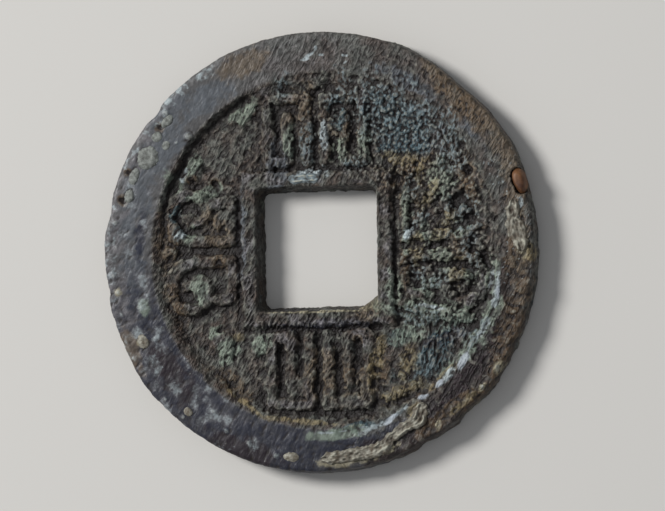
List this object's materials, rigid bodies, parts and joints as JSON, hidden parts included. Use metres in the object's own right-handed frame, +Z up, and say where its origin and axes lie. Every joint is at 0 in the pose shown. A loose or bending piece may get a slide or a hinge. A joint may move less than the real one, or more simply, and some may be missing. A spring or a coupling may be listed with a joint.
{
  "type": "cash coin",
  "caption": "Round cast bronze cash coin with a square hole, raised rims, worn scroll ornament in its field and patches of mineral crust.",
  "frame": {"origin": "on the surface the coin lies on, under the middle of its outline, obverse up", "axes": "+Z up out of the obverse, +Y towards the coin's top in the picture, +X to its right"},
  "size_m": [0.0244, 0.0244, 0.0017],
  "materials": {
    "bronze_patina": "cast bronze with a dark, rough, buried patina, rubbed smoother on the rims",
    "blister_grey": "grey corrosion blister, dull",
    "pale_crust": "pale beige mineral crust, matt and grainy",
    "rust_nodule": "smooth orange-brown mineral nodule"
  },
  "bodies": {
    "root": {"coin_casting": "bronze_patina", "blister_large": "blister_grey", "blister_upper_inner": "blister_grey", "blister_upper_small": "blister_grey", "blister_upper_long": "blister_grey", "blister_left_long": "blister_grey", "blister_left": "blister_grey", "nodule_lower_left": "pale_crust", "nodule_lower_edge": "pale_crust", "nodule_bottom": "pale_crust", "nodule_right": "rust_nodule", "crust_right": "pale_crust", "crust_lower_right": "pale_crust", "crust_hole_rim": "pale_crust"}
  },
  "joints": []
}
